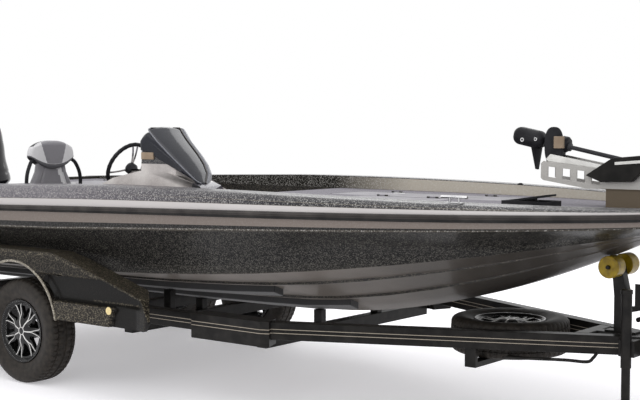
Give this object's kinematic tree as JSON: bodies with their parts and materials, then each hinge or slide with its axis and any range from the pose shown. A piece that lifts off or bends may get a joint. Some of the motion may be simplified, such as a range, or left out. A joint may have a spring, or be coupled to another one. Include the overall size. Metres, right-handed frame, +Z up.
{
  "type": "bass boat on tandem-axle trailer",
  "caption": "Decked fibreglass fishing boat with outboard and bow trolling motor, standing on its bunk trailer with fenders, winch post, jack and spare wheel.",
  "frame": {"origin": "on the floor, under the middle of the whole boat and trailer", "axes": "+X to the bow and the coupler, +Y to port, +Z up"},
  "size_m": [7.499, 2.5826, 1.8],
  "materials": {
    "hull_gelcoat": "gloss metal-flake gelcoat",
    "cap_gelcoat": "gloss metal-flake gelcoat, striped",
    "deck_carpet": "cut-pile marine carpet",
    "rub_rail": "satin extruded vinyl",
    "console_gelcoat": "gloss gelcoat",
    "smoked_screen": "smoked acrylic",
    "black_plastic": "moulded, fine grain",
    "seat_vinyl": "marine vinyl, sewn",
    "frame_paint": "gloss black enamel with thin light stripes",
    "fender_paint": "gloss metal-flake paint",
    "bunk_carpet": "carpet on timber",
    "roller_plastic": "amber urethane",
    "zinc_steel": "zinc plated",
    "tyre_rubber": "moulded rubber",
    "rim_paint": "gloss black with machined faces",
    "motor_paint": "satin enamel",
    "cowl_gloss": "gloss moulded cover",
    "prop_steel": "polished",
    "lamp_lens": "moulded lens",
    "mount_aluminium": "clear anodised"
  },
  "bodies": {
    "boat": {"hull": "hull_gelcoat", "deck_cap": "cap_gelcoat", "rub_rail": "rub_rail", "console": "console_gelcoat", "windscreen": "smoked_screen", "seat_base": "cap_gelcoat", "driver_cushion": "seat_vinyl", "passenger_cushion": "seat_vinyl", "frame_starboard": "frame_paint", "frame_port": "frame_paint", "crossmembers": "frame_paint", "tongue_beam": "frame_paint", "coupler": "frame_paint", "axles": "frame_paint", "fender_starboard": "fender_paint", "fender_port": "fender_paint", "bunks": "bunk_carpet", "bunk_brackets": "frame_paint", "winch_post": "frame_paint", "jack_tube": "frame_paint", "spare_carrier": "frame_paint", "clamp_bracket": "motor_paint", "trolling_base": "mount_aluminium", "trolling_wing": "cowl_gloss", "foot_pedal": "black_plastic", "lamps": "lamp_lens", "cleats": "zinc_steel", "rim_spare": "rim_paint", "tyre_spare": "tyre_rubber"},
    "helm": {"helm_wheel": "black_plastic"},
    "driver_seat_back": {"driver_back": "seat_vinyl"},
    "passenger_seat_back": {"passenger_back": "seat_vinyl"},
    "tilt_bracket": {"swivel_bracket": "motor_paint"},
    "outboard": {"motor_leg": "motor_paint", "motor_cowl": "cowl_gloss"},
    "propeller": {"propeller": "prop_steel"},
    "winch_drum": {"winch_drum": "zinc_steel"},
    "bow_rollers": {"bow_rollers": "roller_plastic"},
    "jack_leg": {"jack_leg": "zinc_steel"},
    "jack_fork": {"jack_fork": "zinc_steel"},
    "jack_wheel": {"jack_wheel": "black_plastic"},
    "trolling_arm": {"trolling_arm": "mount_aluminium"},
    "trolling_bracket": {"trolling_bracket": "black_plastic"},
    "trolling_shaft": {"trolling_shaft": "black_plastic", "trolling_pod": "motor_paint", "trolling_head": "black_plastic"},
    "trolling_prop": {"trolling_prop": "black_plastic"},
    "rod_lid_port": {"rod_lid_port": "deck_carpet"},
    "rod_lid_starboard": {"rod_lid_starboard": "deck_carpet"},
    "front_lid": {"front_lid": "deck_carpet"},
    "rear_lid_port": {"rear_lid_port": "deck_carpet"},
    "rear_lid_starboard": {"rear_lid_starboard": "deck_carpet"},
    "wheel_starboard_front": {"rim_starboard_front": "rim_paint", "tyre_starboard_front": "tyre_rubber"},
    "wheel_starboard_rear": {"rim_starboard_rear": "rim_paint", "tyre_starboard_rear": "tyre_rubber"},
    "wheel_port_front": {"rim_port_front": "rim_paint", "tyre_port_front": "tyre_rubber"},
    "wheel_port_rear": {"rim_port_rear": "rim_paint", "tyre_port_rear": "tyre_rubber"}
  },
  "joints": [
    {"name": "wheel_spin_starboard_front", "type": "hinge", "parent": "boat", "child": "wheel_starboard_front", "pos_m": [-1.25, -1.137, 0.345], "axis": [0, 1, 0], "continuous": true},
    {"name": "wheel_spin_starboard_rear", "type": "hinge", "parent": "boat", "child": "wheel_starboard_rear", "pos_m": [-2.106, -1.137, 0.345], "axis": [0, 1, 0], "continuous": true},
    {"name": "wheel_spin_port_front", "type": "hinge", "parent": "boat", "child": "wheel_port_front", "pos_m": [-1.25, 1.137, 0.345], "axis": [0, 1, 0], "continuous": true},
    {"name": "wheel_spin_port_rear", "type": "hinge", "parent": "boat", "child": "wheel_port_rear", "pos_m": [-2.106, 1.137, 0.345], "axis": [0, 1, 0], "continuous": true},
    {"name": "jack_slide", "type": "slide", "parent": "boat", "child": "jack_leg", "axis": [0, 0, 1], "range_m": [0, 0.18]},
    {"name": "jack_swivel", "type": "hinge", "parent": "jack_leg", "child": "jack_fork", "pos_m": [2.515, -0.205, 0.213], "axis": [0, 0, 1], "continuous": true},
    {"name": "jack_wheel_spin", "type": "hinge", "parent": "jack_fork", "child": "jack_wheel", "pos_m": [2.48, -0.205, 0.1], "axis": [0, 1, 0], "continuous": true},
    {"name": "winch_turn", "type": "hinge", "parent": "boat", "child": "winch_drum", "pos_m": [2.56, 0, 0.79], "axis": [0, 1, 0], "continuous": true},
    {"name": "bow_roller_spin", "type": "hinge", "parent": "boat", "child": "bow_rollers", "pos_m": [2.37475, 0, 0.92456], "axis": [0, 1, 0], "continuous": true},
    {"name": "motor_tilt", "type": "hinge", "parent": "boat", "child": "tilt_bracket", "pos_m": [-3.085, 0, 1.118], "axis": [0, 1, 0], "range_deg": [0, 50]},
    {"name": "motor_steer", "type": "hinge", "parent": "tilt_bracket", "child": "outboard", "pos_m": [-3.23, 0, 0.9], "axis": [0, 0, 1], "range_deg": [-30, 30]},
    {"name": "propeller_spin", "type": "hinge", "parent": "outboard", "child": "propeller", "pos_m": [-3.533, 0, 0.4], "axis": [1, 0, 0], "continuous": true},
    {"name": "helm_turn", "type": "hinge", "parent": "boat", "child": "helm", "pos_m": [-0.88, -0.61, 1.42], "axis": [-0.8829, 0, 0.4695], "range_deg": [-540, 540]},
    {"name": "driver_back_fold", "type": "hinge", "parent": "boat", "child": "driver_seat_back", "pos_m": [-1.722, -0.55, 1.16], "axis": [0, 1, 0], "range_deg": [0, 88]},
    {"name": "passenger_back_fold", "type": "hinge", "parent": "boat", "child": "passenger_seat_back", "pos_m": [-1.722, 0.55, 1.16], "axis": [0, 1, 0], "range_deg": [0, 88]},
    {"name": "rod_lid_port_lift", "type": "hinge", "parent": "boat", "child": "rod_lid_port", "pos_m": [0.785, 0.693, 1.234], "axis": [-1, 0, 0], "range_deg": [0, 85]},
    {"name": "rod_lid_starboard_lift", "type": "hinge", "parent": "boat", "child": "rod_lid_starboard", "pos_m": [0.935, -0.693, 1.234], "axis": [1, 0, 0], "range_deg": [0, 85]},
    {"name": "front_lid_lift", "type": "hinge", "parent": "boat", "child": "front_lid", "pos_m": [0.77, 0.293, 1.234], "axis": [-1, 0, 0], "range_deg": [0, 85]},
    {"name": "rear_lid_port_lift", "type": "hinge", "parent": "boat", "child": "rear_lid_port", "pos_m": [-2.41, 0.723, 1.234], "axis": [-1, 0, 0], "range_deg": [0, 85]},
    {"name": "rear_lid_starboard_lift", "type": "hinge", "parent": "boat", "child": "rear_lid_starboard", "pos_m": [-2.41, -0.723, 1.234], "axis": [1, 0, 0], "range_deg": [0, 85]},
    {"name": "trolling_deploy", "type": "hinge", "parent": "boat", "child": "trolling_arm", "pos_m": [2.56, 0.24, 1.372], "axis": [0, 1, 0], "range_deg": [0, 160]},
    {"name": "trolling_bracket_follow", "type": "hinge", "parent": "trolling_arm", "child": "trolling_bracket", "pos_m": [1.858, 0.24, 1.496], "axis": [0, 1, 0], "range_deg": [-84, 0]},
    {"name": "trolling_steer", "type": "hinge", "parent": "trolling_bracket", "child": "trolling_shaft", "pos_m": [1.87509, 0.24, 1.57926], "axis": [-0.9796, 0, 0.2011], "range_deg": [-180, 180]},
    {"name": "trolling_prop_spin", "type": "hinge", "parent": "trolling_shaft", "child": "trolling_prop", "pos_m": [2.99475, 0.24, 1.34943], "axis": [0, 1, 0], "continuous": true}
  ],
  "couplings": [
    {"joint": "helm_turn", "follows": "motor_steer", "ratio": -18},
    {"joint": "trolling_bracket_follow", "follows": "trolling_deploy", "ratio": -0.525}
  ]
}
